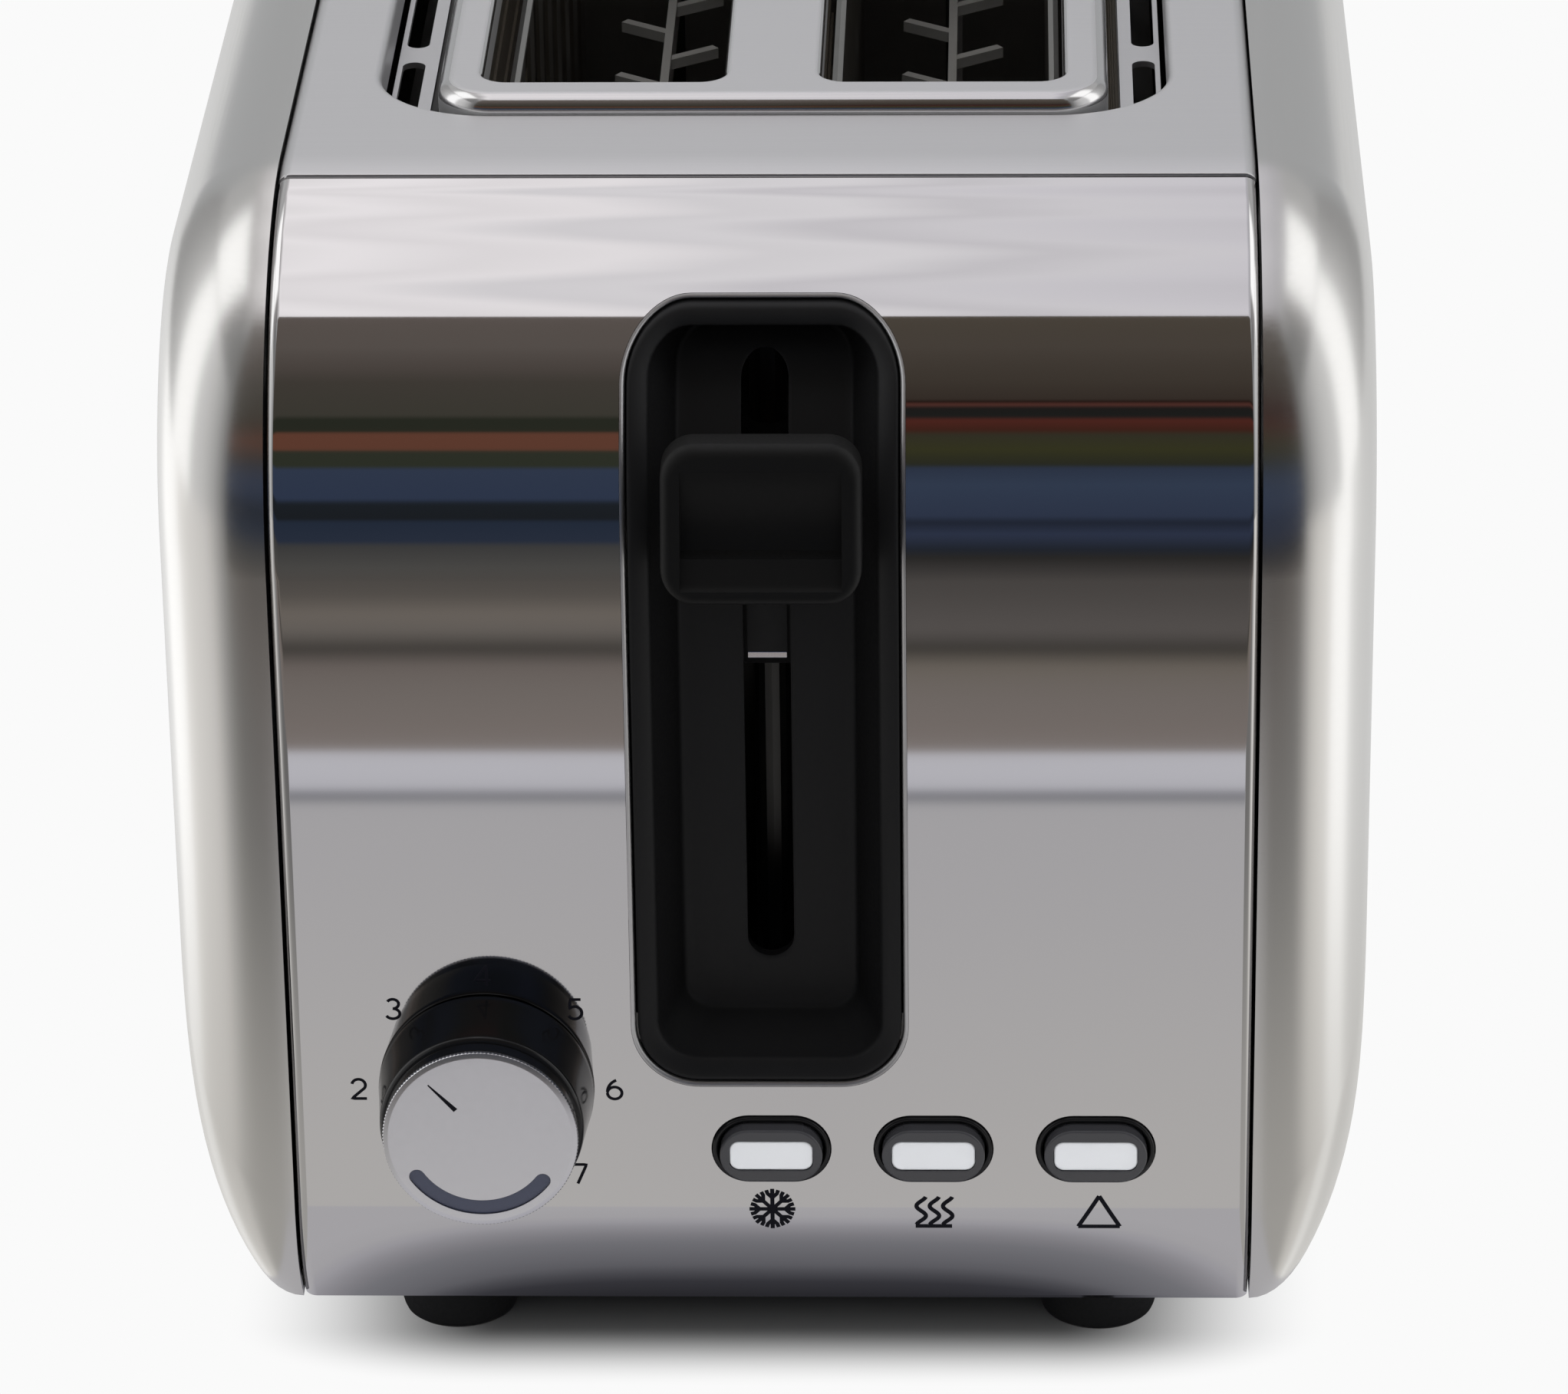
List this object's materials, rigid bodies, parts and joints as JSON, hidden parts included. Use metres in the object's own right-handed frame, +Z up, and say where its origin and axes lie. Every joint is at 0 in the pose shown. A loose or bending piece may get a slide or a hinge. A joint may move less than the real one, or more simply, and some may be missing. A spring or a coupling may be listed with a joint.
{
  "type": "long-slot toaster",
  "caption": "Long-slot toaster with side-by-side bread slots, a lever in a black well, a browning dial, push buttons and a rear crumb tray.",
  "frame": {"origin": "on the table, under the centre of the bounding box", "axes": "+Z up, -Y towards the control end with the lever, +X to the right when facing the controls"},
  "size_m": [0.188, 0.427, 0.194],
  "materials": {
    "casing_steel": "brushed lengthways, satin",
    "polished_steel": "mirror polished",
    "satin_steel": "fine satin",
    "plated_steel": "zinc plated sheet and wire",
    "black_plastic": "moulded, fine matt texture",
    "gloss_black": "moulded, glossy",
    "grey_plastic": "moulded, semi-gloss",
    "lens_white": "translucent white",
    "mica": "mica board with flat heating ribbon",
    "circuit_board": "solder mask",
    "copper_wire": "enamelled copper winding",
    "rubber": "matt"
  },
  "bodies": {
    "chassis": {"left_side_casing": "casing_steel", "right_side_casing": "casing_steel", "front_panel": "polished_steel", "rear_panel": "polished_steel", "top_panel": "satin_steel", "slot_plate": "polished_steel", "vent_strip_left": "plated_steel", "vent_strip_right": "plated_steel", "lever_well": "black_plastic", "base_pan": "black_plastic", "chassis_front_plate": "plated_steel", "chassis_rear_plate": "plated_steel", "reflector_left": "plated_steel", "reflector_right": "plated_steel", "heater_outer_left": "mica", "heater_middle_left": "mica", "heater_middle_right": "mica", "heater_outer_right": "mica", "guide_rod": "plated_steel", "return_spring": "plated_steel", "magnet_core": "plated_steel", "magnet_coil": "copper_wire", "potentiometer": "black_plastic", "control_board": "circuit_board", "bezel_defrost": "gloss_black", "bezel_reheat": "gloss_black", "bezel_cancel": "gloss_black", "switch_defrost": "black_plastic", "switch_reheat": "black_plastic", "switch_cancel": "black_plastic", "base_screw_1": "plated_steel", "base_screw_2": "plated_steel", "base_screw_3": "plated_steel", "base_screw_4": "plated_steel", "cord_gland": "black_plastic", "foot_front_left": "rubber", "foot_front_right": "rubber", "foot_rear_left": "rubber", "foot_rear_right": "rubber"},
    "carriage": {"lever_knob": "black_plastic", "carriage_bracket": "plated_steel", "armature_plate": "plated_steel", "bread_rack_left": "plated_steel", "bread_rack_right": "plated_steel"},
    "guard_left_outer": {"guard_left_outer": "plated_steel"},
    "guard_left_inner": {"guard_left_inner": "plated_steel"},
    "guard_right_inner": {"guard_right_inner": "plated_steel"},
    "guard_right_outer": {"guard_right_outer": "plated_steel"},
    "dial": {"dial_body": "gloss_black", "dial_cap": "casing_steel", "dial_shaft": "plated_steel"},
    "button_defrost": {"button_defrost": "grey_plastic", "lens_defrost": "lens_white"},
    "button_reheat": {"button_reheat": "grey_plastic", "lens_reheat": "lens_white"},
    "button_cancel": {"button_cancel": "grey_plastic", "lens_cancel": "lens_white"},
    "crumb_tray": {"crumb_tray": "plated_steel"}
  },
  "joints": [
    {"name": "lever_slide", "type": "slide", "parent": "chassis", "child": "carriage", "axis": [0, 0, 1], "range_m": [-0.07, 0.01], "stiffness_N_per_m": 80, "springref_m": 0.0165, "deforming": ["return_spring"]},
    {"name": "guard_left_outer_hinge", "type": "hinge", "parent": "chassis", "child": "guard_left_outer", "pos_m": [-0.04495, 0, 0.038], "axis": [0, 1, 0], "range_deg": [-0.8, 5.1]},
    {"name": "guard_left_inner_hinge", "type": "hinge", "parent": "chassis", "child": "guard_left_inner", "pos_m": [-0.00885, 0, 0.038], "axis": [0, 1, 0], "range_deg": [-5.1, 0.8]},
    {"name": "guard_right_inner_hinge", "type": "hinge", "parent": "chassis", "child": "guard_right_inner", "pos_m": [0.00885, 0, 0.038], "axis": [0, 1, 0], "range_deg": [-0.8, 5.1]},
    {"name": "guard_right_outer_hinge", "type": "hinge", "parent": "chassis", "child": "guard_right_outer", "pos_m": [0.04495, 0, 0.038], "axis": [0, 1, 0], "range_deg": [-5.1, 0.8]},
    {"name": "dial_turn", "type": "hinge", "parent": "chassis", "child": "dial", "pos_m": [-0.0448, -0.2, 0.0532], "axis": [0, 1, 0], "range_deg": [-90, 180]},
    {"name": "press_defrost", "type": "slide", "parent": "chassis", "child": "button_defrost", "axis": [0, 1, 0], "range_m": [0, 0.0015], "stiffness_N_per_m": 400, "springref_m": -0.002},
    {"name": "press_reheat", "type": "slide", "parent": "chassis", "child": "button_reheat", "axis": [0, 1, 0], "range_m": [0, 0.0015], "stiffness_N_per_m": 400, "springref_m": -0.002},
    {"name": "press_cancel", "type": "slide", "parent": "chassis", "child": "button_cancel", "axis": [0, 1, 0], "range_m": [0, 0.0015], "stiffness_N_per_m": 400, "springref_m": -0.002},
    {"name": "tray_slide", "type": "slide", "parent": "chassis", "child": "crumb_tray", "axis": [0, 1, 0], "range_m": [0, 0.27]}
  ],
  "couplings": [
    {"joint": "guard_left_outer_hinge", "follows": "lever_slide", "rad_per_m": -1.2466},
    {"joint": "guard_left_inner_hinge", "follows": "lever_slide", "rad_per_m": 1.2466},
    {"joint": "guard_right_inner_hinge", "follows": "lever_slide", "rad_per_m": -1.2466},
    {"joint": "guard_right_outer_hinge", "follows": "lever_slide", "rad_per_m": 1.2466}
  ]
}
